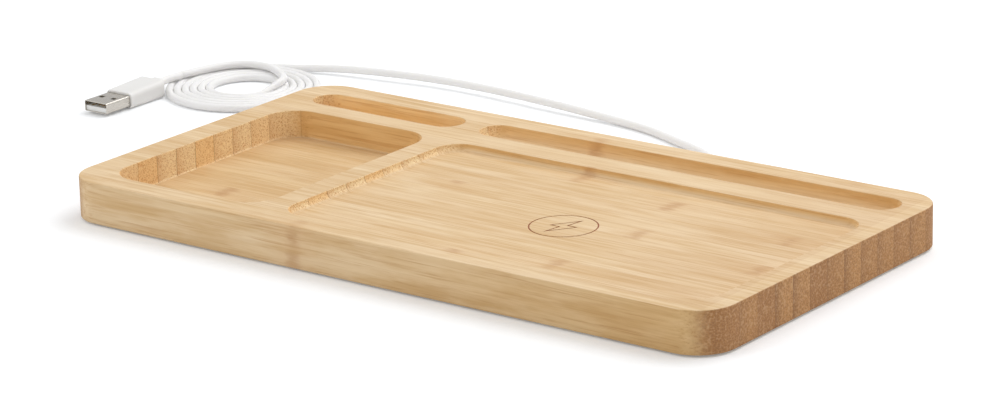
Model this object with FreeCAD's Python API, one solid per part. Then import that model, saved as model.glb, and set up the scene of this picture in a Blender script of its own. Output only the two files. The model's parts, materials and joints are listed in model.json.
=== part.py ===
"""Bamboo desk tray with a built-in wireless phone charger and its detachable USB cable.

The tray is a slab of laminated bamboo with four milled recesses: a deep catch-all pocket and a short
slot on the left, a long pen groove along the back, and a shallow phone recess on the right. The
charging coil sits under the phone recess in a well milled from below, and the circuit board under the
back rim, behind the port. A screwed plate closes the underside. The cable lies coiled beside the tray.

Axes: +X runs along the tray's length to the right, +Y to the back, +Z up. The origin is the centre of
the bamboo slab's underside. The table is FOOT_HEIGHT below it. Each function below makes one piece.
"""

import FreeCAD, Part
import math
import os

V = FreeCAD.Vector

# ---------------------------------------------------------------- bamboo slab
TRAY_LENGTH = 290.0
TRAY_DEPTH = 154.0
TRAY_HEIGHT = 16.0
TRAY_CORNER = 15.0
OUTER_EASE = 0.5
RIM_EASE = 0.35
RIM_MARGIN = 9.0

POCKET_X = (-133.0, -60.3)
POCKET_Y = (-66.0, 40.5)
POCKET_CORNER = 12.5
POCKET_DEPTH = 11.0
POCKET_FLOOR_RADIUS = 0.8

SLOT_X = (-133.0, -61.0)
SLOT_Y = (51.0, 65.8)
SLOT_DEPTH = 11.0

GROOVE_X = (-51.0, 135.0)
GROOVE_Y = 59.0
GROOVE_RADIUS = 7.5

RECESS_X = (-50.0, 135.5)
RECESS_Y = (-66.0, 38.4)
RECESS_CORNER = 10.0
RECESS_DEPTH = 3.0
RECESS_COVE = 2.5

# engraved charging mark on the phone recess floor: a ring with a bolt inside it
MARK_RING_RADIUS = 12.5
MARK_LINE = 0.55
MARK_DEPTH = 0.2

# ---------------------------------------------------------------- underside
FOOT_HEIGHT = 0.8
FOOT_RADIUS = 6.0
FOOT_INSET = 20.0

COVER_X = (-8.0, 92.0)
COVER_Y = (-56.0, 73.2)
COVER_CORNER = 5.0
COVER_THICKNESS = 1.6
COVER_GAP = 0.15
COVER_SCREW_INSET = 4.0
COVER_SCREW_LENGTH = 8.0
COVER_PILOT_RADIUS = 1.35
SMALL_PILOT_RADIUS = 1.05
SMALL_HOLE_RADIUS = 1.15

# ---------------------------------------------------------------- coil stack, centred under the mark
COIL_X = 42.0
COIL_Y = -17.0
COIL_TOP = 10.9
COIL_OUTER_RADIUS = 22.0
COIL_TURNS = 10
LITZ_RADIUS = 0.55
LITZ_PITCH = 1.15
TAPE_THICKNESS = 0.2
FERRITE_SIDE = 50.0
FERRITE_THICKNESS = 1.0
CARRIER_SIDE = 56.0
CARRIER_BASE = 2.0
WELL_SIDE = 58.0
WELL_CORNER = 4.0
WELL_TOP = 11.0
EAR_CLEARANCE = 1.0
STACK_GAP = 0.05
EAR_REACH = 37.0
EAR_WIDTH = 22.0
CARRIER_SCREW_SPACING = 14.0
INNER_LEAD_X = COIL_OUTER_RADIUS - LITZ_RADIUS - LITZ_PITCH * COIL_TURNS
OUTER_LEAD_X = 4.0

# ---------------------------------------------------------------- circuit board and its parts
PORT_X = 24.0
PORT_Z = 4.4
BOARD_X = (PORT_X - 20.0, PORT_X + 24.0)
BOARD_Y = (44.0, 72.0)
BOARD_BOTTOM = 2.8
BOARD_THICKNESS = 1.2
BOARD_TOP = BOARD_BOTTOM + BOARD_THICKNESS
BOARD_GAP = 0.3
BOARD_LEDGE = 6.0
BOARD_LEDGE_Y = 69.0
CHANNEL_TOP = 7.0
WIRE_CHANNEL_SIDE = 2.0
BOARD_SCREW_INSET = 3.0
PART_GAP = 0.02

# ---------------------------------------------------------------- USB-C pair
PORT_LENGTH = 7.35
PORT_WIDTH = 8.94
PORT_HEIGHT = 3.16
PORT_WALL = 0.28
PORT_MOUTH_Y = 74.5
PORT_WINDOW_Y = 66.5
PORT_WINDOW_GAP = 0.15
PORT_OVAL_WIDTH = 12.2
PORT_OVAL_HEIGHT = 6.8
C_SHELL_WIDTH = 8.25
C_SHELL_HEIGHT = 2.40
C_SHELL_REACH = 6.65
C_SHELL_WALL = 0.3
C_TONGUE_WIDTH = 6.69
C_TONGUE_HEIGHT = 0.7
C_TONGUE_LENGTH = 4.45
C_CONTACTS = 12
C_CONTACT_PITCH = 0.5
C_CONTACT_WIDTH = 0.25
C_BODY_WIDTH = 11.0
C_BODY_HEIGHT = 5.8
C_BODY_LENGTH = 19.0
C_BODY_Y = PORT_MOUTH_Y + 0.25
C_JACKET_END = 88.0

# ---------------------------------------------------------------- cable
CABLE_RADIUS = 1.6
CABLE_BORE = 1.05
TABLE_Z = -FOOT_HEIGHT
CABLE_Z = TABLE_Z + CABLE_RADIUS + 0.02
GRIP_CORNER = 2.2
NECK_LENGTH = 4.2
NECK_WIDTH = 6.4
NECK_HEIGHT = 5.0
SHELL_TAIL = 4.0

# flat spiral that the spare cable is wound into, clockwise seen from above, from the inside out
WINDING_X = -201.0
WINDING_Y = 93.5
WINDING_PITCH = 3.32
WINDING_INNER = 13.78
WINDING_START = -15.0
WINDING_END = 116.0
WINDING_TURNS = 5

# the end that crosses over the winding: how far from the winding's centre it lies at first and then
# at rest, and the angles between which it swings in, tucks into the middle and dips to the table
STRAND_RADIUS = 25.6
STRAND_REST_RADIUS = 16.4
STRAND_SWING = (140, 60)
STRAND_TUCK = (35, 4)
STRAND_DIP = (26, -13)
STRAND_Z = CABLE_Z + 2.0 * CABLE_RADIUS + 0.1

# the run from the winding to the port, as x, y and height above the table, then x and y where it
# rises to the port
RUN_POINTS = [
    (-203.4, 127.7, 1.8),
    (-190.0, 132.9, 2.4),
    (-166.8, 137.6, 3.2),
    (-138.5, 141.7, 3.2),
    (-107.2, 141.5, 3.2),
    (-74.6, 138.5, 3.0),
    (-42.2, 135.8, 1.9),
    (-24.7, 132.5, 1.62),
    (-6.2, 125.4, 1.62),
    (9.0, 118.9, 1.64),
]
RISE_LENGTH = 40.0
RISE_START_Y = 113.6
RISE_END_Y = 100.5
RISE_POINTS = [(15.5, 115.0), (19.0, 112.0), (21.6, 108.6), (23.3, 104.8), (23.9, 101.6), (24.0, 99.6)]

# ---------------------------------------------------------------- USB-A plug, pointing towards -Y
A_PLUG_X = -229.9
A_BODY_Y = 47.7
A_BODY_WIDTH = 14.0
A_BODY_HEIGHT = 6.7
A_BODY_LENGTH = 20.5
A_BODY_RISE = 0.9
A_PLUG_Z = TABLE_Z + 0.5 * A_BODY_HEIGHT + 0.1
A_EXIT_Z = A_PLUG_Z + A_BODY_RISE
A_SHELL_WIDTH = 12.0
A_SHELL_HEIGHT = 4.5
A_SHELL_REACH = 14.1
A_SHELL_WALL = 0.3
A_WINDOW_SIDE = 2.3
A_WINDOW_SPACING = 6.4
A_WINDOW_BACK = 7.5
A_JACKET_END = 61.0
FLEX_Y = 84.0
FLEX_X = -229.1
FLEX_GAP = 0.1
CLIMB_LENGTH = 8.0

MOULD_GAP = 0.05


# ================================================================ shape helpers
def box(x0, y0, z0, x1, y1, z1):
    """A block between two opposite corners."""
    return Part.makeBox(x1 - x0, y1 - y0, z1 - z0, V(x0, y0, z0))


def disc(x, y, radius, z0, z1):
    """An upright cylinder."""
    return Part.makeCylinder(radius, z1 - z0, V(x, y, z0))


def rounded_slab(xs, ys, corner, z0, z1):
    """A block with rounded upright corners."""
    slab = box(xs[0], ys[0], z0, xs[1], ys[1], z1)
    upright = [e for e in slab.Edges if abs(e.Vertexes[0].Z - e.Vertexes[1].Z) > 1e-6]
    return slab.makeFillet(corner, upright)


def edges_at(shape, z):
    """The edges that lie wholly at one height."""
    return [e for e in shape.Edges if abs(e.BoundBox.ZMin - z) < 1e-4 and abs(e.BoundBox.ZMax - z) < 1e-4]


def lying_bar(x, z, width, height, corner, y0, y1):
    """A bar along Y whose section is a rectangle with rounded corners."""
    bar = box(x - width / 2, y0, z - height / 2, x + width / 2, y1, z + height / 2)
    long_edges = [e for e in bar.Edges if abs(e.Vertexes[0].Y - e.Vertexes[1].Y) > 1e-6]
    return bar.makeFillet(corner, long_edges)


def stadium_bar(x, z, width, height, y0, y1):
    """A bar along Y whose section has fully round ends."""
    return lying_bar(x, z, width, height, height / 2 - 0.001, y0, y1)


def smooth(t):
    """Eases from 0 to 1 with no slope at either end."""
    t = min(1.0, max(0.0, t))
    return t * t * (3.0 - 2.0 * t)


def evenly(start, end, spacing):
    """Values from start to end, no more than spacing apart."""
    count = math.ceil((end - start) / spacing)
    return [start + (end - start) * i / count for i in range(count + 1)]


def arcs_through(points, spacing, fine_length=0.0):
    """Circular arcs that follow a smooth curve through points and meet with no kink.

    The curve is cut into stretches of about spacing, shorter over the last fine_length.
    Each stretch becomes two arcs. An arc is its start, end, and start direction.
    """
    curve = Part.BSplineCurve()
    curve.interpolate(points)
    fine_start = curve.length() - fine_length
    distances = evenly(0, fine_start, spacing)
    if fine_length:
        distances += evenly(fine_start, curve.length(), 0.2 * spacing)[1:]
    stations = [curve.parameterAtDistance(distance, 0) for distance in distances]
    places = [curve.value(t) for t in stations]
    ways = [curve.tangent(t)[0].normalize() for t in stations]
    arcs = []
    for start, end, way_in, way_out in zip(places, places[1:], ways, ways[1:]):
        chord = end - start
        turn = 2 * (way_in.dot(way_out) - 1)
        along = chord.dot(way_in + way_out)
        if turn > -1e-9:
            reach = chord.dot(chord) / (2 * along)
        else:
            reach = (along - math.sqrt(along * along - turn * chord.dot(chord))) / turn
        joint = (start + way_in * reach + end - way_out * reach) * 0.5
        arcs.append((start, joint, way_in))
        arcs.append((joint, end, (end - way_out * reach - joint).normalize()))
    return arcs


def swept(arcs, radius, side=0.0, up=0.0, bore=0.0):
    """A round bar, or a tube if bore is set, along arcs, shifted sideways and up from them."""
    start, _, way = arcs[0]
    across = way.cross(V(0, 0, 1)).normalize()
    centre = start + across * side + across.cross(way) * up
    section = Part.Face(Part.Wire(Part.makeCircle(radius, centre, way)))
    if bore:
        section = section.cut(Part.Face(Part.Wire(Part.makeCircle(bore, centre, way)))).Faces[0]
    skin = [section]
    for start, end, way in arcs:
        chord = end - start
        half_turn = chord.getAngle(way)
        section_end = section.copy()
        if half_turn < 1e-6:
            piece = section.extrude(chord)
            section_end.translate(chord)
        else:
            axis = way.cross(chord).normalize()
            hub = start + axis.cross(way).normalize() * (chord.Length / (2 * math.sin(half_turn)))
            turn = math.degrees(2 * half_turn)
            piece = section.revolve(hub, axis, turn)
            section_end.rotate(hub, axis, turn)
        skin += [face for face in piece.Faces if not isinstance(face.Surface, Part.Plane)]
        section = section_end
    shell = Part.makeShell(skin + [section])
    shell.sewShape()
    solid = Part.makeSolid(shell)
    if solid.Volume < 0:
        solid.reverse()
    return solid


def fuse_all(shapes):
    """One solid from several that touch or overlap."""
    return shapes[0].fuse(shapes[1:]).removeSplitter()


def screw(x, y, seat_z, head_radius, head_height, shaft_radius, length, countersunk=False):
    """An upright screw driven upwards: its head hangs below seat_z, or narrows into it if countersunk."""
    shaft = disc(x, y, shaft_radius, seat_z, seat_z + length)
    point = Part.makeCone(shaft_radius, 0.2, 1.2, V(x, y, seat_z + length))
    if countersunk:
        head = Part.makeCone(head_radius, shaft_radius, head_height, V(x, y, seat_z))
        drive_z = seat_z
    else:
        head = disc(x, y, head_radius, seat_z - head_height, seat_z)
        drive_z = seat_z - head_height
    body = fuse_all([shaft, head, point])
    reach = 0.55 * head_radius
    for length_x, length_y in ((reach, 0.2), (0.2, reach)):
        depth = drive_z + 0.6 * head_height
        body = body.cut(box(x - length_x, y - length_y, drive_z, x + length_x, y + length_y, depth))
    return body


def pan_screws(points, seat_z):
    """Small screws with flat round heads, one at each point."""
    size = {"head_radius": 1.8, "head_height": 1.0, "shaft_radius": 1.0, "length": 4.2}
    return [screw(x, y, seat_z - 0.01, **size) for x, y in points]


# ================================================================ places used by several pieces
def corner_points(xs, ys, inset):
    """The four points that lie inset from a rectangle's corners."""
    return [(x, y) for x in (xs[0] + inset, xs[1] - inset) for y in (ys[0] + inset, ys[1] - inset)]


def cover_screw_points():
    """Four corner screws and one halfway along each long side of the plate."""
    middle_y = 0.5 * (COVER_Y[0] + COVER_Y[1])
    sides = [(COVER_X[0] + COVER_SCREW_INSET, middle_y), (COVER_X[1] - COVER_SCREW_INSET, middle_y)]
    return corner_points(COVER_X, COVER_Y, COVER_SCREW_INSET) + sides


def carrier_screw_points():
    """Two screws through each ear of the coil carrier."""
    half = CARRIER_SCREW_SPACING / 2
    reach = 0.5 * (CARRIER_SIDE / 2 + EAR_REACH)
    return [(COIL_X + side * reach, COIL_Y + y) for side in (-1, 1) for y in (-half, half)]


def foot_points():
    """A foot inside each corner of the slab."""
    half_x = TRAY_LENGTH / 2
    half_y = TRAY_DEPTH / 2
    return corner_points((-half_x, half_x), (-half_y, half_y), FOOT_INSET)


def stack_levels():
    """Heights of the coil stack from the top down: coil centre, tape, ferrite and carrier faces."""
    coil_z = COIL_TOP - LITZ_RADIUS
    tape_top = COIL_TOP - 2 * LITZ_RADIUS - STACK_GAP
    tape_bottom = tape_top - TAPE_THICKNESS
    ferrite_top = tape_bottom - STACK_GAP
    ferrite_bottom = ferrite_top - FERRITE_THICKNESS
    carrier_top = ferrite_bottom - STACK_GAP
    return coil_z, tape_top, tape_bottom, ferrite_top, ferrite_bottom, carrier_top


# ================================================================ bamboo slab
def pocket_cutter():
    cutter = rounded_slab(POCKET_X, POCKET_Y, POCKET_CORNER, TRAY_HEIGHT - POCKET_DEPTH, TRAY_HEIGHT + 1)
    return cutter.makeFillet(POCKET_FLOOR_RADIUS, edges_at(cutter, TRAY_HEIGHT - POCKET_DEPTH))


def slot_cutter():
    round_end = 0.5 * (SLOT_Y[1] - SLOT_Y[0]) - 0.001
    return rounded_slab(SLOT_X, SLOT_Y, round_end, TRAY_HEIGHT - SLOT_DEPTH, TRAY_HEIGHT + 1)


def groove_cutter():
    """A ball-nosed trough: half a cylinder with half-ball ends, open at the top face."""
    x0 = GROOVE_X[0] + GROOVE_RADIUS
    x1 = GROOVE_X[1] - GROOVE_RADIUS
    rod = Part.makeCylinder(GROOVE_RADIUS, x1 - x0, V(x0, GROOVE_Y, TRAY_HEIGHT), V(1, 0, 0))
    balls = [Part.makeSphere(GROOVE_RADIUS, V(x, GROOVE_Y, TRAY_HEIGHT)) for x in (x0, x1)]
    return fuse_all([rod] + balls)


def recess_cutter():
    """The phone recess, whose wall curves into its floor with a cove."""
    floor_z = TRAY_HEIGHT - RECESS_DEPTH
    cutter = rounded_slab(RECESS_X, RECESS_Y, RECESS_CORNER, floor_z, TRAY_HEIGHT + 1)
    return cutter.makeFillet(RECESS_COVE, edges_at(cutter, floor_z))


def bolt_outline():
    """A plain lightning bolt about the coil's centre, as a closed wire."""
    half = [(1.6, 7.0), (-4.2, -1.0), (-0.6, -1.0)]
    corners = half + [(-x, -y) for x, y in half]
    points = [V(COIL_X + x, COIL_Y + y, 0) for x, y in corners]
    return Part.makePolygon(points + points[:1])


def mark_cutter():
    """The engraved line: a ring, and the outline of a bolt inside it."""
    floor_z = TRAY_HEIGHT - RECESS_DEPTH
    ring = disc(COIL_X, COIL_Y, MARK_RING_RADIUS + MARK_LINE / 2, floor_z - MARK_DEPTH, floor_z + 1)
    ring = ring.cut(disc(COIL_X, COIL_Y, MARK_RING_RADIUS - MARK_LINE / 2, floor_z - 1, floor_z + 2))
    wire = bolt_outline()
    band = Part.Face(wire.makeOffset2D(MARK_LINE, 2)).cut(Part.Face(wire))
    bolt = band.Faces[0].extrude(V(0, 0, 1 + MARK_DEPTH))
    bolt.translate(V(0, 0, floor_z - MARK_DEPTH))
    return [ring, bolt]


def underside_cutters():
    """Everything milled from below: plate recess, coil well, board well, wire channel and port."""
    cutters = [rounded_slab(COVER_X, COVER_Y, COVER_CORNER, -1, COVER_THICKNESS + STACK_GAP)]
    half = WELL_SIDE / 2
    well_x = (COIL_X - half, COIL_X + half)
    well_y = (COIL_Y - half, COIL_Y + half)
    cutters.append(rounded_slab(well_x, well_y, WELL_CORNER, 0, WELL_TOP))
    ear_top = stack_levels()[5] + STACK_GAP
    ear_reach = EAR_REACH + EAR_CLEARANCE
    ear_half = EAR_WIDTH / 2 + EAR_CLEARANCE
    ear_x = (COIL_X - ear_reach, COIL_X + ear_reach)
    ear_y = (COIL_Y - ear_half, COIL_Y + ear_half)
    cutters.append(rounded_slab(ear_x, ear_y, 0.5 * WELL_CORNER, 0, ear_top))
    board_x = (BOARD_X[0] - BOARD_GAP, BOARD_X[1] + BOARD_GAP)
    board_y = (BOARD_Y[0] - BOARD_GAP, BOARD_Y[1] + BOARD_GAP)
    cutters.append(box(board_x[0], board_y[0], 0, board_x[1], board_y[1], BOARD_TOP + STACK_GAP))
    inner_x = (BOARD_X[0] + BOARD_LEDGE, BOARD_X[1] - BOARD_LEDGE)
    cutters.append(rounded_slab(inner_x, (board_y[0], BOARD_LEDGE_Y), 1.5, 0, CHANNEL_TOP))
    wire_x0 = COIL_X - INNER_LEAD_X - WIRE_CHANNEL_SIDE
    wire_x1 = COIL_X - OUTER_LEAD_X + 2 * WIRE_CHANNEL_SIDE
    cutters.append(box(wire_x0, COIL_Y + half - 2, 0, wire_x1, BOARD_Y[0] + 2, WELL_TOP))
    back_y = TRAY_DEPTH / 2 + 1
    cutters.append(stadium_bar(PORT_X, PORT_Z, PORT_OVAL_WIDTH, PORT_OVAL_HEIGHT, PORT_MOUTH_Y, back_y))
    window_width = PORT_WIDTH + 2 * PORT_WINDOW_GAP
    window_height = PORT_HEIGHT + 2 * PORT_WINDOW_GAP
    cutters.append(stadium_bar(PORT_X, PORT_Z, window_width, window_height, PORT_WINDOW_Y, back_y))
    return cutters


def pilot_holes():
    """Holes in the bamboo for the screws, a little wider than their shafts."""
    holes = [disc(x, y, COVER_PILOT_RADIUS, 0, COVER_SCREW_LENGTH + 1.5) for x, y in cover_screw_points()]
    ear_z = stack_levels()[5]
    for points, z in ((carrier_screw_points(), ear_z), (board_screw_points(), BOARD_TOP)):
        holes += [disc(x, y, SMALL_PILOT_RADIUS, z - 1, z + 4.5) for x, y in points]
    return holes


def is_rim(edge):
    """True for a top edge of a recess, rather than of the slab's own outline."""
    middle = edge.CenterOfMass
    inside_x = abs(middle.x) < TRAY_LENGTH / 2 - RIM_MARGIN
    inside_y = abs(middle.y) < TRAY_DEPTH / 2 - RIM_MARGIN
    return inside_x and inside_y


def bamboo_body():
    half_x = TRAY_LENGTH / 2
    half_y = TRAY_DEPTH / 2
    body = rounded_slab((-half_x, half_x), (-half_y, half_y), TRAY_CORNER, 0, TRAY_HEIGHT)
    body = body.makeFillet(OUTER_EASE, edges_at(body, 0) + edges_at(body, TRAY_HEIGHT))
    body = body.cut([pocket_cutter(), slot_cutter(), groove_cutter(), recess_cutter()])
    body = body.makeFillet(RIM_EASE, [e for e in edges_at(body, TRAY_HEIGHT) if is_rim(e)])
    body = body.cut(mark_cutter())
    return body.cut(underside_cutters() + pilot_holes())


# ================================================================ underside pieces
def bottom_cover():
    """The plate that closes the underside, flush with it, with countersunk screw holes."""
    xs = (COVER_X[0] + COVER_GAP, COVER_X[1] - COVER_GAP)
    ys = (COVER_Y[0] + COVER_GAP, COVER_Y[1] - COVER_GAP)
    plate = rounded_slab(xs, ys, COVER_CORNER - COVER_GAP, 0, COVER_THICKNESS)
    holes = [disc(x, y, 1.4, -1, COVER_THICKNESS + 1) for x, y in cover_screw_points()]
    sinks = [Part.makeCone(2.75, 1.35, 1.45, V(x, y, 0)) for x, y in cover_screw_points()]
    return plate.cut(holes + sinks)


def cover_screws():
    """Countersunk screws, sunk just below the plate."""
    size = {"head_radius": 2.6, "head_height": 1.4, "shaft_radius": 1.3, "length": COVER_SCREW_LENGTH}
    return [screw(x, y, STACK_GAP, countersunk=True, **size) for x, y in cover_screw_points()]


def anti_slip_feet():
    feet = []
    for x, y in foot_points():
        pad = disc(x, y, FOOT_RADIUS, TABLE_Z, 0)
        feet.append(pad.makeFillet(0.3, edges_at(pad, TABLE_Z)))
    return feet


# ================================================================ coil stack
def slot_cutter_for_lead(z0, z1):
    """The slot that lets the coil's inner end pass under the turns to the back."""
    x = COIL_X - INNER_LEAD_X
    half = 0.9
    return box(x - half, COIL_Y - 5.0, z0, x + half, COIL_Y + FERRITE_SIDE, z1)


def coil_points():
    """Centre line of the litz wire: pad, inner lead, turns wound outwards, outer lead, pad."""
    coil_z = stack_levels()[0]
    inner_x = COIL_X - INNER_LEAD_X
    outer_x = COIL_X - OUTER_LEAD_X
    pad_y = BOARD_Y[0] + 3.5
    pad_z = BOARD_TOP + LITZ_RADIUS + 0.1
    slot_z = coil_z - 2 * LITZ_RADIUS - 0.1
    drop = [(pad_y, pad_z), (BOARD_Y[0] + 0.5, pad_z), (BOARD_Y[0] - 7, pad_z + 1)]
    drop += [(26.0, 7.9), (14.0, slot_z)]
    points = [V(inner_x, y, z) for y, z in drop]
    points += [V(inner_x, y, slot_z) for y in (6.0, COIL_Y + 13, COIL_Y + 5)]
    points.append(V(inner_x, COIL_Y + 1.2, 0.5 * (slot_z + coil_z)))
    first, last = 195, 45 + 360 * COIL_TURNS
    for angle in range(first, last + 1, 15):
        radius = INNER_LEAD_X + LITZ_PITCH * (angle - first) / 360
        turn = math.radians(angle)
        points.append(V(COIL_X + radius * math.cos(turn), COIL_Y + radius * math.sin(turn), coil_z))
    points.append(V(COIL_X + 11.4, COIL_Y + 18.2, coil_z))
    points.append(V(COIL_X + 7.6, COIL_Y + 21.2, coil_z))
    points.append(V(COIL_X + 3.6, COIL_Y + 23.8, coil_z))
    points.append(V(COIL_X - 0.6, COIL_Y + 26.8, coil_z - 0.1))
    points.append(V(outer_x + 0.6, COIL_Y + 30.6, coil_z - 0.4))
    points += [V(outer_x, y, z + 0.1) for y, z in reversed(drop[:4])]
    return points


def transmitter_coil():
    """One layer of litz wire wound outwards, with both ends led to the circuit board."""
    return swept(arcs_through(coil_points(), 9.0), LITZ_RADIUS)


def coil_tape():
    """The adhesive disc that holds the coil to the ferrite."""
    _, top, bottom, _, _, _ = stack_levels()
    tape = disc(COIL_X, COIL_Y, COIL_OUTER_RADIUS, bottom, top)
    tape = tape.cut(disc(COIL_X, COIL_Y, INNER_LEAD_X - 1.5, bottom - 1, top + 1))
    return tape.cut(slot_cutter_for_lead(bottom - 1, top + 1))


def ferrite_sheet():
    _, _, _, top, bottom, _ = stack_levels()
    half = FERRITE_SIDE / 2
    sheet = rounded_slab((COIL_X - half, COIL_X + half), (COIL_Y - half, COIL_Y + half), 2.0, bottom, top)
    return sheet.cut(slot_cutter_for_lead(bottom - 1, top + 1))


def coil_carrier():
    """A moulded tray with a low rim round the ferrite and an ear on each side for its screws."""
    top = stack_levels()[5]
    bottom = top - CARRIER_BASE
    rim_top = COIL_TOP - 0.5
    half = CARRIER_SIDE / 2
    pocket = FERRITE_SIDE / 2 + 0.4
    tray = rounded_slab((COIL_X - half, COIL_X + half), (COIL_Y - half, COIL_Y + half), 3.0, bottom, rim_top)
    seat = rounded_slab((COIL_X - pocket, COIL_X + pocket), (COIL_Y - pocket, COIL_Y + pocket), 2.0, top, 20)
    gate = box(COIL_X - INNER_LEAD_X - 2, COIL_Y, top, COIL_X + 2, COIL_Y + CARRIER_SIDE, 20)
    ears_x = (COIL_X - EAR_REACH, COIL_X + EAR_REACH)
    ears_y = (COIL_Y - EAR_WIDTH / 2, COIL_Y + EAR_WIDTH / 2)
    ears = rounded_slab(ears_x, ears_y, 1.5, bottom, top)
    carrier = fuse_all([tray.cut([seat, gate]), ears])
    holes = [disc(x, y, SMALL_HOLE_RADIUS, bottom - 1, top + 1) for x, y in carrier_screw_points()]
    return carrier.cut(holes)


def carrier_screws():
    return pan_screws(carrier_screw_points(), stack_levels()[5] - CARRIER_BASE)


# ================================================================ circuit board
def board_screw_points():
    return corner_points(BOARD_X, BOARD_Y, BOARD_SCREW_INSET)


def circuit_board():
    """The board, with a notch that the port sits in and holes for its screws."""
    board = box(BOARD_X[0], BOARD_Y[0], BOARD_BOTTOM, BOARD_X[1], BOARD_Y[1], BOARD_TOP)
    notch_half = PORT_WIDTH / 2 + 0.1
    notch_y = PORT_MOUTH_Y - PORT_LENGTH - 0.1
    notch = box(PORT_X - notch_half, notch_y, 0, PORT_X + notch_half, BOARD_Y[1] + 1, 10)
    holes = [disc(x, y, SMALL_HOLE_RADIUS, 0, 10) for x, y in board_screw_points()]
    return board.cut([notch] + holes)


def board_screws():
    return pan_screws(board_screw_points(), BOARD_BOTTOM)


def chips(places, size_x, size_y, height):
    """Low rectangular packages standing on the board, centred at places."""
    z0 = BOARD_TOP + PART_GAP
    half_x = size_x / 2
    half_y = size_y / 2
    return [box(x - half_x, y - half_y, z0, x + half_x, y + half_y, z0 + height) for x, y in places]


def controller_chip():
    return chips([(34.0, 57.0)], 6.0, 6.0, 0.9)[0]


def power_transistors():
    return chips([(x, y) for x in (14.0, 18.2) for y in (55.0, 59.4)], 3.3, 3.3, 0.8)


def resonant_capacitors():
    return chips([(x, 49.0) for x in (14.0, 17.2, 20.4, 23.6)], 2.5, 3.2, 1.8)


def input_capacitors():
    return chips([(14.5, 65.0), (39.0, 65.0)], 3.2, 1.6, 1.6)


def power_inductor():
    """A shielded inductor: a square ferrite block with eased upright edges."""
    x = 25.5
    y = 57.0
    half = 2.0
    z0 = BOARD_TOP + PART_GAP
    return rounded_slab((x - half, x + half), (y - half, y + half), 0.6, z0, z0 + 2.0)


def signal_resistors():
    return chips([(x, y) for x in (29.0, 31.0, 34.0, 36.0) for y in (62.5, 64.0)], 1.0, 0.5, 0.35)


# ================================================================ USB-C port and plug
def c_contact_row(y0, y1, z0, z1):
    """One row of the USB-C pair's flat contacts, centred on the port."""
    first = PORT_X - 0.5 * C_CONTACT_PITCH * (C_CONTACTS - 1) - 0.5 * C_CONTACT_WIDTH
    lefts = [first + C_CONTACT_PITCH * i for i in range(C_CONTACTS)]
    return [box(left, y0, z0, left + C_CONTACT_WIDTH, y1, z1) for left in lefts]


def port_shell():
    y0 = PORT_MOUTH_Y - PORT_LENGTH
    shell = stadium_bar(PORT_X, PORT_Z, PORT_WIDTH, PORT_HEIGHT, y0, PORT_MOUTH_Y)
    inner_width = PORT_WIDTH - 2 * PORT_WALL
    inner_height = PORT_HEIGHT - 2 * PORT_WALL
    return shell.cut(stadium_bar(PORT_X, PORT_Z, inner_width, inner_height, y0 - 1, PORT_MOUTH_Y + 1))


def port_contacts():
    tongue_y = PORT_MOUTH_Y - PORT_LENGTH + 0.8
    half = C_TONGUE_HEIGHT / 2
    strips = []
    for z0 in (PORT_Z - half, PORT_Z + half - 0.1):
        strips += c_contact_row(tongue_y + 0.2, tongue_y + 4.0, z0, z0 + 0.1)
    return strips


def port_tongue():
    """The moulding that closes the port's back and carries the contact tongue."""
    y0 = PORT_MOUTH_Y - PORT_LENGTH + 0.05
    back_width = PORT_WIDTH - 2 * PORT_WALL - 0.04
    back_height = PORT_HEIGHT - 2 * PORT_WALL - 0.04
    back = stadium_bar(PORT_X, PORT_Z, back_width, back_height, y0, y0 + 0.75)
    tongue = lying_bar(PORT_X, PORT_Z, C_TONGUE_WIDTH, C_TONGUE_HEIGHT, 0.15, y0, y0 + 0.75 + C_TONGUE_LENGTH)
    return fuse_all([back, tongue]).cut(port_contacts())


def c_plug_tip_y():
    return C_BODY_Y - C_SHELL_REACH


def usb_c_shell():
    y0 = c_plug_tip_y()
    y1 = C_BODY_Y + SHELL_TAIL
    shell = stadium_bar(PORT_X, PORT_Z, C_SHELL_WIDTH, C_SHELL_HEIGHT, y0, y1)
    inner_width = C_SHELL_WIDTH - 2 * C_SHELL_WALL
    inner_height = C_SHELL_HEIGHT - 2 * C_SHELL_WALL
    return shell.cut(stadium_bar(PORT_X, PORT_Z, inner_width, inner_height, y0 - 1, y1 + 1))


def usb_c_contacts():
    y0 = c_plug_tip_y() + 0.8
    strips = []
    for z0 in (PORT_Z - 0.62, PORT_Z + 0.5):
        strips += c_contact_row(y0, y0 + 3.2, z0, z0 + 0.12)
    return strips


def usb_c_insert():
    """The plastic lining of the plug, with the slot that takes the port's tongue."""
    y0 = c_plug_tip_y() + 0.05
    width = C_SHELL_WIDTH - 2 * C_SHELL_WALL - 0.06
    height = C_SHELL_HEIGHT - 2 * C_SHELL_WALL - 0.06
    lining = stadium_bar(PORT_X, PORT_Z, width, height, y0, C_BODY_Y + SHELL_TAIL - 0.5)
    slot = box(PORT_X - 3.5, y0 - 1, PORT_Z - 0.5, PORT_X + 3.5, y0 + C_TONGUE_LENGTH + 0.4, PORT_Z + 0.5)
    return lining.cut([slot] + usb_c_contacts())


def usb_c_plug_board():
    """The small board inside the plug that the cable's wires are soldered to."""
    y0 = C_BODY_Y + SHELL_TAIL + 0.1
    return box(PORT_X - 3.7, y0, PORT_Z - 0.4, PORT_X + 3.7, y0 + 6.2, PORT_Z + 0.4)


def outline(x, z, width, height, corner, y):
    """A rectangle with rounded corners, standing across Y."""
    bar = lying_bar(x, z, width, height, corner, y, y + 1)
    return [face for face in bar.Faces if face.BoundBox.YMax < y + 1e-4][0].OuterWire


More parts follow.
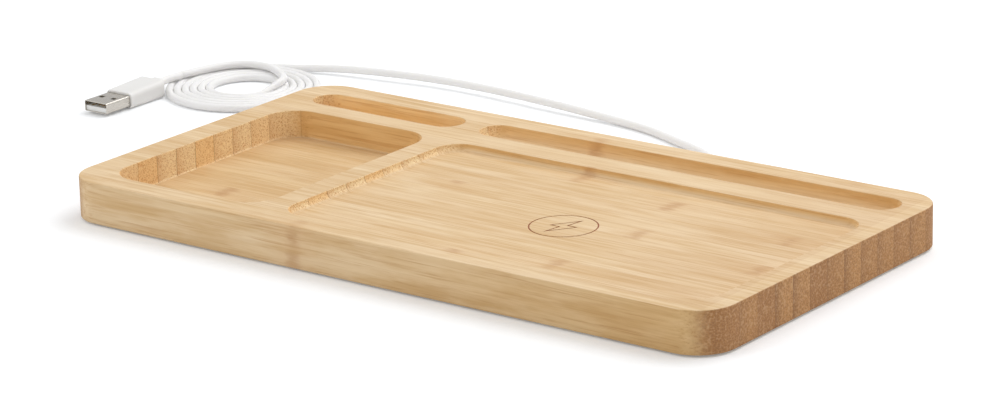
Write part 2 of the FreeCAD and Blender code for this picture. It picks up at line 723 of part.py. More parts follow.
def plug_body(x, z, width, height, rise, front_y, length):
    """A moulded grip whose top slopes up by rise, and the narrower neck that the cable leaves by."""
    neck_y = front_y + length
    end_y = neck_y + NECK_LENGTH
    front = outline(x, z, width, height, GRIP_CORNER, front_y)
    back = outline(x, z + 0.5 * rise, width, height + rise, GRIP_CORNER, neck_y)
    grip = Part.makeLoft([front, back], True, True)
    grip = grip.makeFillet(0.4, [e for e in grip.Edges if e.BoundBox.YLength < 1e-4])
    neck = lying_bar(x, z + rise, NECK_WIDTH, NECK_HEIGHT, 1.8, neck_y - 2, end_y)
    neck = neck.makeFillet(0.5, [e for e in neck.Edges if abs(e.BoundBox.YMin - end_y) < 1e-4])
    return fuse_all([grip, neck])


def cable_bore(x, jacket_y, z):
    """The hole in a plug's neck that the jacket sits in, from the jacket's end outwards."""
    return Part.makeCylinder(CABLE_RADIUS + MOULD_GAP, 30, V(x, jacket_y - 0.2, z), V(0, 1, 0))


def usb_c_overmould():
    body = plug_body(PORT_X, PORT_Z, C_BODY_WIDTH, C_BODY_HEIGHT, 0, C_BODY_Y, C_BODY_LENGTH)
    tail_y = C_BODY_Y + SHELL_TAIL + MOULD_GAP
    tail_width = C_SHELL_WIDTH + 2 * MOULD_GAP
    tail_height = C_SHELL_HEIGHT + 2 * MOULD_GAP
    tail = stadium_bar(PORT_X, PORT_Z, tail_width, tail_height, C_BODY_Y - 1, tail_y)
    room = box(PORT_X - 3.9, tail_y - 1, PORT_Z - 1.1, PORT_X + 3.9, C_JACKET_END, PORT_Z + 1.1)
    return body.cut([tail, room, cable_bore(PORT_X, C_JACKET_END, PORT_Z)])


# ================================================================ cable
def winding_point(angle):
    """A point of the flat winding, angle degrees clockwise from its inner end."""
    radius = WINDING_INNER + WINDING_PITCH * angle / 360
    turn = math.radians(WINDING_START - angle)
    return V(WINDING_X + radius * math.cos(turn), WINDING_Y + radius * math.sin(turn), CABLE_Z)


def share_past(angle, stretch):
    """How far angle has come along stretch, from 0 at its first angle to 1 at its second."""
    return smooth((stretch[0] - angle) / (stretch[0] - stretch[1]))


def strand_point(angle):
    """A point of the end that swings in across the top of the winding, tucks in and dips to the table."""
    radius = STRAND_RADIUS - (STRAND_RADIUS - STRAND_REST_RADIUS) * share_past(angle, STRAND_SWING)
    radius -= (STRAND_REST_RADIUS - WINDING_INNER) * share_past(angle, STRAND_TUCK)
    turn = math.radians(angle)
    z = STRAND_Z - (STRAND_Z - CABLE_Z) * share_past(angle, STRAND_DIP)
    return V(WINDING_X + radius * math.cos(turn), WINDING_Y + radius * math.sin(turn), z)


def cable_path(end_y):
    """From just past the flex point, over and round the winding, and along the table to the port."""
    points = [V(FLEX_X, FLEX_Y + CABLE_RADIUS + FLEX_GAP, STRAND_Z)]
    points += [strand_point(angle) for angle in range(165, 30, -15)]
    points += [strand_point(angle) for angle in range(30, int(WINDING_START), -9)]
    sweep = 360 * WINDING_TURNS + WINDING_START - WINDING_END + 360
    steps = round(sweep / 30)
    points += [winding_point(angle) for angle in (0, 9)]
    points += [winding_point(sweep * i / steps) for i in range(1, steps + 1)]
    points += [V(x, y, TABLE_Z + height) for x, y, height in RUN_POINTS]
    for x, y in RISE_POINTS:
        lift = smooth((RISE_START_Y - y) / (RISE_START_Y - RISE_END_Y))
        points.append(V(x, y, CABLE_Z + (PORT_Z - CABLE_Z) * lift))
    neck_y = C_BODY_Y + C_BODY_LENGTH + NECK_LENGTH
    straight = 5
    points += [V(PORT_X, neck_y + (end_y - neck_y) * i / straight, PORT_Z) for i in range(straight + 1)]
    return arcs_through(points, 14.0, RISE_LENGTH)


def lead_path(start_y, end_y):
    """From inside the USB-A plug to the flex point, climbing onto the winding."""
    climb_y = A_BODY_Y + A_BODY_LENGTH + NECK_LENGTH - 0.5
    steps = 14
    points = []
    for i in range(steps + 1):
        y = start_y + (end_y - start_y) * i / steps
        x = A_PLUG_X + (FLEX_X - A_PLUG_X) * smooth((y - climb_y - 3.5) / (FLEX_Y - climb_y - 3.5))
        points.append(V(x, y, A_EXIT_Z + (STRAND_Z - A_EXIT_Z) * smooth((y - climb_y) / CLIMB_LENGTH)))
    return arcs_through(points, 2.5)


def wires(path):
    """Two power wires side by side, and two thinner data wires above and below them."""
    power = [swept(path, 0.36, side=offset) for offset in (-0.45, 0.45)]
    data = [swept(path, 0.25, up=offset) for offset in (-0.6, 0.6)]
    return power + data


def cable_jacket():
    return swept(cable_path(C_JACKET_END), CABLE_RADIUS, bore=CABLE_BORE)


def cable_wires():
    return wires(cable_path(C_BODY_Y + SHELL_TAIL + 6.6))


def plug_lead_jacket():
    """The last stretch of jacket before the plug; its rounded end sits at the flex point."""
    tube = swept(lead_path(A_JACKET_END, FLEX_Y), CABLE_RADIUS, bore=CABLE_BORE)
    cap = Part.makeSphere(CABLE_RADIUS, V(FLEX_X, FLEX_Y, STRAND_Z))
    cap = cap.common(box(FLEX_X - 2, FLEX_Y, STRAND_Z - 2, FLEX_X + 2, FLEX_Y + 2, STRAND_Z + 2))
    return fuse_all([tube, cap])


def plug_lead_wires():
    return wires(lead_path(A_BODY_Y + SHELL_TAIL + 2.4, FLEX_Y - 0.2))


# ================================================================ USB-A plug
def a_box(x0, x1, y0, y1, z0, z1):
    """A block measured from the centre of the plug's open end, y running back into the plug."""
    tip_y = A_BODY_Y - A_SHELL_REACH
    return box(A_PLUG_X + x0, tip_y + y0, A_PLUG_Z + z0, A_PLUG_X + x1, tip_y + y1, A_PLUG_Z + z1)


def usb_a_shell():
    """A folded metal tube with two latch windows in its top and two in its bottom."""
    length = A_SHELL_REACH + SHELL_TAIL
    tip_y = A_BODY_Y - A_SHELL_REACH
    tube = lying_bar(A_PLUG_X, A_PLUG_Z, A_SHELL_WIDTH, A_SHELL_HEIGHT, 0.6, tip_y, tip_y + length)
    inner_width = A_SHELL_WIDTH - 2 * A_SHELL_WALL
    inner_height = A_SHELL_HEIGHT - 2 * A_SHELL_WALL
    hollow = lying_bar(A_PLUG_X, A_PLUG_Z, inner_width, inner_height, 0.3, tip_y - 1, tip_y + length + 1)
    windows = []
    for side in (-0.5, 0.5):
        middle = side * A_WINDOW_SPACING
        half = A_WINDOW_SIDE / 2
        windows.append(a_box(middle - half, middle + half, A_WINDOW_BACK - half, A_WINDOW_BACK + half, -5, 5))
    return tube.cut([hollow] + windows)


def usb_a_contacts():
    """Four flat springs: the outer pair reaches further forward than the inner pair."""
    strips = []
    for x, front in ((-3.5, 1.6), (-1.0, 2.6), (1.0, 2.6), (3.5, 1.6)):
        strips.append(a_box(x - 0.5, x + 0.5, front, A_SHELL_REACH + SHELL_TAIL + 2.2, -0.12, 0.04))
    return strips


def usb_a_insulator():
    """The white block that fills the plug's lower half, and its whole height further back."""
    half_width = A_SHELL_WIDTH / 2 - A_SHELL_WALL - 0.05
    low = -A_SHELL_HEIGHT / 2 + A_SHELL_WALL + 0.05
    back_y = A_SHELL_REACH + SHELL_TAIL - 0.4
    slab = a_box(-half_width, half_width, 0.5, back_y, low, 0)
    block = a_box(-half_width, half_width, 12.0, back_y, low, -low)
    block = fuse_all([slab, block])
    long_edges = [e for e in block.Edges if e.BoundBox.YLength > 1]
    corners = [e for e in long_edges if abs(abs(e.CenterOfMass.z - A_PLUG_Z) + low) < 0.01]
    return block.makeFillet(0.3, corners).cut(usb_a_contacts())


def usb_a_overmould():
    body = plug_body(A_PLUG_X, A_PLUG_Z, A_BODY_WIDTH, A_BODY_HEIGHT, A_BODY_RISE, A_BODY_Y, A_BODY_LENGTH)
    tail_y = A_BODY_Y + SHELL_TAIL + MOULD_GAP
    tail_width = A_SHELL_WIDTH + 2 * MOULD_GAP
    tail_height = A_SHELL_HEIGHT + 2 * MOULD_GAP
    tail = lying_bar(A_PLUG_X, A_PLUG_Z, tail_width, tail_height, 0.6, A_BODY_Y - 1, tail_y)
    room = box(A_PLUG_X - 4.6, tail_y - 1, A_PLUG_Z - 1.2, A_PLUG_X + 4.6, A_JACKET_END, A_EXIT_Z + 1.2)
    return body.cut([tail, room, cable_bore(A_PLUG_X, A_JACKET_END, A_EXIT_Z)])


# ================================================================ all pieces
PIECES = [
    bamboo_body,
    bottom_cover,
    cover_screws,
    anti_slip_feet,
    transmitter_coil,
    coil_tape,
    ferrite_sheet,
    coil_carrier,
    carrier_screws,
    circuit_board,
    board_screws,
    controller_chip,
    power_transistors,
    resonant_capacitors,
    input_capacitors,
    power_inductor,
    signal_resistors,
    port_shell,
    port_tongue,
    port_contacts,
    usb_c_shell,
    usb_c_insert,
    usb_c_contacts,
    usb_c_plug_board,
    usb_c_overmould,
    cable_jacket,
    cable_wires,
    plug_lead_jacket,
    plug_lead_wires,
    usb_a_overmould,
    usb_a_shell,
    usb_a_insulator,
    usb_a_contacts,
]


def main():
    os.makedirs("parts", exist_ok=True)
    for make in PIECES:
        shape = make()
        if isinstance(shape, list):
            shape = Part.makeCompound(shape)
        shape.exportStep(f"parts/{make.__name__}.step")


main()
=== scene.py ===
"""Looks for the bamboo desk tray with a wireless charger: materials, light, floor and camera.

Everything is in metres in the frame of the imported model: +X along the tray, +Y to the back, +Z up.
"""

import json
import math
from types import SimpleNamespace

import bpy
from mathutils import Matrix, Vector


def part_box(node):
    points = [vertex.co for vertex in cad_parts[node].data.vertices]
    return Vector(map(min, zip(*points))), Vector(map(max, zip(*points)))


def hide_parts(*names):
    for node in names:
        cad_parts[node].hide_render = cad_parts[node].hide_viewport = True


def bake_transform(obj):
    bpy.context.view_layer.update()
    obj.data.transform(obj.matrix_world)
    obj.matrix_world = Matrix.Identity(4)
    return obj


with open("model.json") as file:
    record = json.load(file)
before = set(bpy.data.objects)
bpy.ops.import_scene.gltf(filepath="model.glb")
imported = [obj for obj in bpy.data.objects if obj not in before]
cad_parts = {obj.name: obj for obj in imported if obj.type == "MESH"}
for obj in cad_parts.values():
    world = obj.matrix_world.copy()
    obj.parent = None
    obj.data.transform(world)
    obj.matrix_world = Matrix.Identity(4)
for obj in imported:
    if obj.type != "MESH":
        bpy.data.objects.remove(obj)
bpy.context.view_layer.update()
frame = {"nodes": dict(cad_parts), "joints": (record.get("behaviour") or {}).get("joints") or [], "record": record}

MM = 0.001

# ---------------------------------------------------------------- places taken from the frame
BODY_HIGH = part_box("bamboo_body")[1]
TABLE_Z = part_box("anti_slip_feet")[0].z
COIL_LOW, COIL_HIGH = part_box("coil_tape")
MARK_CENTRE = 0.5 * (COIL_LOW + COIL_HIGH)
MARK_RADIUS = 14.5 * MM  # a little outside the engraved ring
RECESS_FLOOR = BODY_HIGH.z - 3.0 * MM  # the floor of the phone recess
MARK_TOP = RECESS_FLOOR - 0.03 * MM  # the mark's scorched colour starts below this
MARK_FULL = RECESS_FLOOR - 0.09 * MM  # is full below this
MARK_BOTTOM = RECESS_FLOOR - 0.5 * MM  # and stops at this
LOW_FLOOR_TOP = BODY_HIGH.z - 4.0 * MM  # painted shade starts on a floor below this
LOW_FLOOR_BOTTOM = BODY_HIGH.z - 8.0 * MM  # and is full below this
RIM_X = 6.0 * MM  # narrower than the rims at the slab's ends
RIM_Y = 5.0 * MM  # narrower than the rims along its front and back
SLOT_END_X = -60.0 * MM  # the short slot lies to the left of this
SLOT_FRONT_Y = 45.0 * MM  # and behind this
RIGHT_FLOOR_START_X = 60.0 * MM  # the phone recess floor darkens from here
RIGHT_FLOOR_END_X = 120.0 * MM  # to here


# ================================================================ node tree helper
class Look:
    """One procedural material, with short calls for the nodes it needs."""

    def __init__(self, name):
        self.material = bpy.data.materials.new(name)
        self.material.use_nodes = True
        self.tree = self.material.node_tree
        self.tree.nodes.clear()
        self.shader = self.tree.nodes.new("ShaderNodeBsdfPrincipled")
        output = self.tree.nodes.new("ShaderNodeOutputMaterial")
        self.tree.links.new(self.shader.outputs[0], output.inputs[0])

    def put(self, socket, value):
        """Links value if it is another node's output, or sets it as a plain number or colour."""
        if isinstance(value, bpy.types.NodeSocket):
            self.tree.links.new(value, socket)
        elif isinstance(value, (tuple, list)) and len(value) == 3 and socket.type == "RGBA":
            socket.default_value = (*value, 1.0)
        else:
            socket.default_value = value

    def node(self, kind, inputs=(), **settings):
        """A new node with its settings and inputs filled in."""
        made = self.tree.nodes.new(kind)
        for key, value in settings.items():
            setattr(made, key, value)
        for key, value in dict(inputs).items():
            self.put(made.inputs[key], value)
        return made

    def math(self, operation, a, b=0.0, c=0.0):
        return self.node("ShaderNodeMath", {0: a, 1: b, 2: c}, operation=operation).outputs[0]

    def place(self):
        """The point being shaded, in metres in the frame at rest."""
        return self.node("ShaderNodeTexCoord").outputs["Object"]

    def split(self, vector):
        return self.node("ShaderNodeSeparateXYZ", {0: vector}).outputs

    def join(self, x, y, z):
        return self.node("ShaderNodeCombineXYZ", {0: x, 1: y, 2: z}).outputs[0]

    def stretch(self, vector, scale):
        """The vector times a fixed scale on each axis."""
        return self.node("ShaderNodeVectorMath", {0: vector, 1: scale}, operation="MULTIPLY").outputs[0]

    def noise(self, vector, scale=1.0, detail=2.0, roughness=0.5):
        inputs = {"Vector": vector, "Scale": scale, "Detail": detail, "Roughness": roughness}
        return self.node("ShaderNodeTexNoise", inputs).outputs[0]

    def random(self, value):
        """A random number and colour that depend only on value."""
        return self.node("ShaderNodeTexWhiteNoise", {"W": value}, noise_dimensions="1D").outputs

    def spots(self, vector, scale=1.0):
        """The distance to the nearest of many scattered points."""
        return self.node("ShaderNodeTexVoronoi", {"Vector": vector, "Scale": scale}).outputs["Distance"]

    def span(self, value, low, high, out_low=0.0, out_high=1.0):
        """Maps value smoothly from low..high to out_low..out_high, held at the ends."""
        inputs = {"Value": value, "From Min": low, "From Max": high}
        inputs.update({"To Min": out_low, "To Max": out_high})
        return self.node("ShaderNodeMapRange", inputs, interpolation_type="SMOOTHSTEP").outputs[0]

    def mix(self, factor, a, b, blend="MIX"):
        """Colour a where factor is 0 and b where it is 1."""
        made = self.node("ShaderNodeMix", data_type="RGBA", blend_type=blend)
        for socket, value in zip((made.inputs[0], made.inputs[6], made.inputs[7]), (factor, a, b)):
            self.put(socket, value)
        return made.outputs[2]

    def times(self, first, *others):
        """The product of two or more masks."""
        for other in others:
            first = self.math("MULTIPLY", first, other)
        return first

    def tinted(self, factor, colour, tint):
        """The colour multiplied by tint, by as much as factor says."""
        return self.mix(factor, colour, self.mix(1.0, colour, tint, "MULTIPLY"))

    def bump(self, height, distance, strength):
        inputs = {"Height": height, "Distance": distance, "Strength": strength}
        return self.node("ShaderNodeBump", inputs).outputs[0]

    def finish(self, **inputs):
        """Sets the shader's inputs, given by their names in lower case with underscores."""
        for key, value in inputs.items():
            socket = key.replace("_", " ").title().replace("Ior", "IOR")
            self.put(self.shader.inputs[socket], value)
        return self.material


def srgb(red, green, blue):
    """A display colour, 0 to 255, as the linear colour that shaders use."""
    linear = []
    for value in (red, green, blue):
        share = value / 255.0
        linear.append(share / 12.92 if share <= 0.04045 else ((share + 0.055) / 1.055) ** 2.4)
    return tuple(linear)


# ================================================================ bamboo
STRIP_WIDTH = 10.95 * MM
STRIP_START = -59.3 * MM
KNUCKLE_SPACING = 300.0 * MM
RIPPLES = 62.0  # how tightly the wavy lines of the end grain are packed
KNUCKLES = {
    -2: -34.0, -1: 32.0, 0: 65.0, 1: -88.0, 2: -104.0, 3: 127.7, 4: 69.9, 5: -22.0,
    6: 119.3, 7: 61.7, 8: 14.0, 9: 150.0, 10: -76.0, 11: -2.7, 12: 109.0,
}  # where along each strip a knuckle lies, in millimetres


def survey(look):
    """Where the shaded point is, and which sort of surface it is on."""
    place = look.place()
    x, y, z = look.split(place)[:3]
    normal = look.split(look.node("ShaderNodeNewGeometry").outputs["Normal"])
    here = SimpleNamespace(x=x, y=y, z=z, normal=normal)
    here.end_face = look.span(look.math("ABSOLUTE", normal[0]), 0.30, 0.85)
    upright = look.span(look.math("ABSOLUTE", normal[2]), 0.25, 0.95, 1.0, 0.0)

    # inside the milled recesses, as opposed to the slab's outside
    inside_x = look.math("LESS_THAN", look.math("ABSOLUTE", x), BODY_HIGH.x - RIM_X)
    inside_y = look.math("LESS_THAN", look.math("ABSOLUTE", y), BODY_HIGH.y - RIM_Y)
    here.inside = look.times(inside_x, inside_y)
    here.wall = look.times(upright, here.inside)
    here.flat = look.math("SUBTRACT", here.inside, here.wall)
    return here


def lay_strips(look, here):
    """Which strip, how far across it, and a fresh piece of pattern for each strip."""
    across = look.math("DIVIDE", look.math("SUBTRACT", here.y, STRIP_START), STRIP_WIDTH)
    here.strip = look.math("FLOOR", across)
    here.share = look.math("FRACT", across)
    here.chance, chances = look.random(here.strip)
    here.tone, here.hue, shift = look.split(chances)[:3]
    here.moved_x = look.math("ADD", here.x, look.math("MULTIPLY", shift, 7.0))
    here.moved_y = look.math("ADD", here.y, look.math("MULTIPLY", here.chance, 0.7))
    here.local = look.join(here.moved_x, here.moved_y, here.z)


def lay_fibres(look, here):
    """Broad and fine streaks along X, and bundles that are dashes on top and dots on the ends."""
    local = here.local
    here.broad = look.noise(look.stretch(local, (14.0, 480.0, 300.0)), detail=4.0, roughness=0.65)
    here.fine = look.noise(look.stretch(local, (30.0, 1900.0, 1400.0)), detail=3.0, roughness=0.65)
    here.patch = look.noise(look.stretch(local, (24.0, 110.0, 110.0)), detail=4.0, roughness=0.6)
    warp = look.noise(look.stretch(local, (6.0, 300.0, 300.0)), detail=2.0)
    bent_z = look.math("ADD", here.z, look.math("MULTIPLY", warp, 2.2 * MM))
    bent = look.join(here.moved_x, here.moved_y, bent_z)
    here.cells = look.spots(look.stretch(bent, (26.0, 1250.0, 1250.0)))
    here.bundle = look.span(here.cells, 0.12, 0.50, 1.0, 0.0)
    swirl = look.noise(look.stretch(local, (10.0, 420.0, 300.0)), detail=2.0, roughness=0.6)
    here.ripple = look.math("SINE", look.math("MULTIPLY", swirl, RIPPLES))


def lay_knuckles(look, here):
    """A ragged darker patch across each strip, with a fainter halo."""
    knuckle_x = 0.0
    for index, position in KNUCKLES.items():
        on_strip = look.math("COMPARE", here.strip, float(index), 0.5)
        knuckle_x = look.math("ADD", look.math("MULTIPLY", on_strip, position * MM), knuckle_x)
    ragged = look.noise(look.stretch(here.local, (120.0, 520.0, 520.0)), detail=3.0, roughness=0.65)
    sway = look.math("MULTIPLY", look.math("SUBTRACT", ragged, 0.5), 9.0 * MM)
    along = look.math("ADD", here.x, sway)
    turns = look.math("DIVIDE", look.math("SUBTRACT", along, knuckle_x), KNUCKLE_SPACING)
    part_turn = look.math("FRACT", look.math("ADD", turns, 0.5))
    away = look.math("ABSOLUTE", look.math("SUBTRACT", part_turn, 0.5))
    here.knuckle = look.times(look.span(away, 0.0, 0.016, 1.0, 0.0), look.span(here.patch, 0.30, 0.62))
    here.halo = look.span(away, 0.0, 0.060, 1.0, 0.0)


def long_grain(look, here):
    """Each strip a little lighter or darker, streaked, with dark dashes and knuckles."""
    colour = look.mix(look.span(here.broad, 0.30, 0.70), srgb(209, 173, 122), srgb(230, 202, 160))
    colour = look.mix(look.span(here.patch, 0.40, 0.66, 0.0, 0.50), colour, srgb(240, 217, 182))
    colour = look.mix(look.span(here.tone, 0.0, 1.0, 0.0, 0.26), colour, srgb(212, 174, 124))
    colour = look.mix(look.span(here.hue, 0.5, 1.0, 0.0, 0.22), colour, srgb(240, 216, 178))
    colour = look.mix(look.span(here.fine, 0.52, 0.70, 0.0, 0.55), colour, srgb(192, 147, 94))
    colour = look.mix(look.math("MULTIPLY", here.bundle, 0.10), colour, srgb(176, 128, 78))
    colour = look.mix(look.math("MULTIPLY", here.halo, 0.20), colour, srgb(206, 160, 106))
    return look.mix(look.math("MULTIPLY", here.knuckle, 0.42), colour, srgb(176, 122, 72))


def painted_light_and_shade(look, here, colour):
    """Painted shade and warm bounce on recess walls, painted shade on low floors, painted light on the short
    slot's walls, a floor darkening towards the right of the phone recess, and painted shade, darker and warmer, on
    the outer front towards the right.
    """
    # painted shade and warm bounce: walls inside the recesses are made darker and more orange
    painted_wall_shade = look.mix(1.0, colour, (1.02, 0.89, 0.62), "MULTIPLY")
    colour = look.mix(look.math("MULTIPLY", here.wall, 0.9), colour, painted_wall_shade)
    # painted shade on recess floors that lie low in the slab
    deep_floor_shade = look.span(here.z, LOW_FLOOR_BOTTOM, LOW_FLOOR_TOP, 1.0, 0.0)
    colour = look.tinted(look.times(deep_floor_shade, here.flat), colour, (0.94, 0.90, 0.82))
    # painted light: the short slot's walls are made lighter and paler, undoing their shade
    left_part = look.math("LESS_THAN", here.x, SLOT_END_X)
    in_slot = look.times(left_part, look.math("GREATER_THAN", here.y, SLOT_FRONT_Y))
    colour = look.tinted(look.times(here.wall, in_slot), colour, (1.20, 1.32, 1.50))
    at_right = look.span(here.x, RIGHT_FLOOR_START_X, RIGHT_FLOOR_END_X)
    colour = look.tinted(look.times(here.flat, at_right), colour, (0.95, 0.92, 0.90))
    # painted shade: the outer front face is darkened and warmed towards the right
    front = look.span(here.normal[1], -0.9, -0.5, 1.0, 0.0)
    rightward = look.span(here.x, -0.6 * BODY_HIGH.x, BODY_HIGH.x, 0.0, 1.0)
    outside = look.math("SUBTRACT", 1.0, here.inside)
    return look.tinted(look.times(front, rightward, outside), colour, (0.88, 0.79, 0.62))


def end_grain(look, here, glue):
    """Browner, each strip shaded from its skin side, with a dense speckle of bundles."""
    dark = look.mix(look.span(here.chance, 0.0, 1.0), srgb(170, 117, 66), srgb(196, 143, 87))
    skin = look.math("POWER", look.math("SUBTRACT", 1.0, here.share), 3.0)
    skin = look.times(skin, look.span(here.tone, 0.2, 0.9, 0.10, 0.75))
    dark = look.mix(skin, dark, srgb(128, 84, 50))
    dark = look.mix(look.math("MULTIPLY", here.bundle, 0.55), dark, srgb(132, 88, 52))
    dark = look.mix(look.span(here.ripple, -0.6, 0.9, 0.0, 0.40), dark, srgb(140, 90, 50))
    dark = look.mix(look.span(here.cells, 0.50, 0.85, 0.0, 0.35), dark, srgb(214, 178, 136))
    light = look.mix(look.span(here.chance, 0.0, 1.0), srgb(250, 214, 158), srgb(255, 232, 186))
    light = look.mix(look.math("MULTIPLY", here.bundle, 0.62), light, srgb(190, 130, 72))
    light = look.mix(look.span(here.ripple, -0.6, 0.9, 0.0, 0.34), light, srgb(200, 138, 74))
    light = look.mix(look.math("MULTIPLY", skin, 0.6), light, srgb(190, 132, 78))
    ends = look.mix(here.inside, dark, light)
    seam = look.times(glue, look.span(here.hue, 0.2, 0.8, 0.25, 0.85))
    return look.mix(seam, ends, srgb(116, 72, 38))


def scorch(look, here):
    """A mask for the engraved mark: only points just below the phone recess floor."""
    below = look.span(here.z, MARK_FULL, MARK_TOP, 1.0, 0.0)
    above = look.math("GREATER_THAN", here.z, MARK_BOTTOM)
    spot = {0: look.join(here.x, here.y, 0.0), 1: (MARK_CENTRE.x, MARK_CENTRE.y, 0.0)}
    radial = look.node("ShaderNodeVectorMath", spot, operation="DISTANCE").outputs["Value"]
    return look.times(below, look.math("LESS_THAN", radial, MARK_RADIUS), above)


def bamboo():
    """Laminated bamboo: strips side by side along X, with fibres, knuckles, glue lines and end grain."""
    look = Look("bamboo")
    here = survey(look)
    lay_strips(look, here)
    lay_fibres(look, here)
    lay_knuckles(look, here)
    # painted shade and light on recess walls, low floors, the short slot and the outer front
    colour = painted_light_and_shade(look, here, long_grain(look, here))

    # glue line between strips
    edge = look.math("MINIMUM", here.share, look.math("SUBTRACT", 1.0, here.share))
    glue = look.span(edge, 0.0, 0.020, 1.0, 0.0)
    colour = look.mix(look.math("MULTIPLY", glue, 0.16), colour, srgb(166, 118, 70))
    ends = end_grain(look, here, glue)
    colour = look.mix(look.math("MULTIPLY", here.end_face, 0.92), colour, ends)
    colour = look.mix(look.math("MULTIPLY", scorch(look, here), 0.9), colour, srgb(150, 74, 38))

    # pores and fibres stand up a little, most of all on the end grain
    streaks = look.math("MULTIPLY", here.fine, 0.6)
    relief = look.math("ADD", streaks, look.math("MULTIPLY", here.bundle, -0.4))
    pores = look.math("MULTIPLY", look.times(here.bundle, here.end_face), -1.6)
    relief = look.math("ADD", relief, pores)
    rough = look.span(here.fine, 0.3, 0.75, 0.46, 0.62)
    return look.finish(
        base_color=colour,
        roughness=look.math("ADD", rough, look.math("MULTIPLY", here.end_face, 0.12)),
        specular_ior_level=0.40,
        normal=look.bump(relief, 0.06 * MM, 0.6),
    )


# ================================================================ plastics, metals and small materials
def moulded(name, colour, roughness=0.45, grain=0.012, scale=2600.0, tint=0.05, **extra):
    """Moulded plastic or rubber with a fine surface grain and a faint unevenness in tone and gloss."""
    look = Look(name)
    place = look.place()
    cloud = look.noise(place, 60.0, 2.0)
    fine = look.noise(place, scale, 3.0, 0.6)
    shade = tuple(channel * (1.0 - tint) for channel in colour)
    base = look.mix(look.span(cloud, 0.3, 0.7), colour, shade)
    rough = look.span(fine, 0.3, 0.7, roughness - 0.05, roughness + 0.06)
    return look.finish(
        base_color=base, roughness=rough, normal=look.bump(fine, grain * MM, 0.8), **extra
    )


def brushed(name, colour, roughness=0.3, scale=(200.0, 3000.0, 3000.0), worn=0.12, groove=0.004):
    """Plated or drawn metal with faint streaks along one axis and a cloudy wear in its gloss."""
    look = Look(name)
    place = look.place()
    streak = look.noise(look.stretch(place, scale), detail=3.0, roughness=0.6)
    cloud = look.noise(place, 260.0, 3.0)
    shade = tuple(channel * (1.0 - worn) for channel in colour)
    base = look.mix(look.span(cloud, 0.35, 0.7), colour, shade)
    rough = look.span(streak, 0.3, 0.7, roughness - 0.07, roughness + 0.08)
    return look.finish(
        base_color=base, metallic=1.0, roughness=rough, normal=look.bump(streak, groove * MM, 0.7)
    )


TWIST_AROUND = 150.0  # how tightly the strands twist, round the coil and up through it
TWIST_UP = 9000.0


def litz():
    """Enamelled copper strands, seen as a fine diagonal twist on the wire."""
    look = Look("copper_litz")
    place = look.place()
    x, y, z = look.split(place)[:3]
    from_x = look.math("SUBTRACT", x, MARK_CENTRE.x)
    from_y = look.math("SUBTRACT", y, MARK_CENTRE.y)
    around = look.math("MULTIPLY", look.math("ARCTAN2", from_y, from_x), TWIST_AROUND)
    twist = look.math("SINE", look.math("ADD", around, look.math("MULTIPLY", z, TWIST_UP)))
    speck = look.noise(place, 3500.0, 2.0)
    share = look.math("ADD", look.span(twist, -1.0, 1.0, 0.0, 0.6), look.math("MULTIPLY", speck, 0.4))
    base = look.mix(share, srgb(140, 66, 30), srgb(224, 146, 90))
    return look.finish(
        base_color=base, metallic=0.85, roughness=0.36, normal=look.bump(twist, 0.03 * MM, 0.7)
    )


def circuit_laminate():
    """Green solder mask with faint copper areas under it and bare tinned dots."""
    look = Look("circuit_laminate")
    place = look.place()
    black, white = (0.0, 0.0, 0.0), (1.0, 1.0, 1.0)
    tiles = {"Vector": place, "Scale": 180.0, "Mortar Size": 0.03}
    tiles.update({"Color1": black, "Color2": white, "Mortar": black})
    block = look.node("ShaderNodeTexBrick", tiles).outputs["Color"]
    fine = look.noise(place, 1800.0, 2.0)
    base = look.mix(look.span(fine, 0.3, 0.7), srgb(14, 74, 38), srgb(22, 96, 50))
    base = look.mix(look.math("MULTIPLY", look.split(block)[0], 0.35), base, srgb(44, 128, 66))
    dots = look.span(look.spots(place, 420.0), 0.10, 0.14, 1.0, 0.0)
    base = look.mix(dots, base, srgb(190, 190, 180))
    return look.finish(base_color=base, roughness=0.32, normal=look.bump(fine, 0.01 * MM, 0.6))


# the cable's white plastic lets some light through
SOFT = {"subsurface_weight": 1.0, "subsurface_radius": (1.0, 1.0, 0.95), "subsurface_scale": 0.5 * MM}

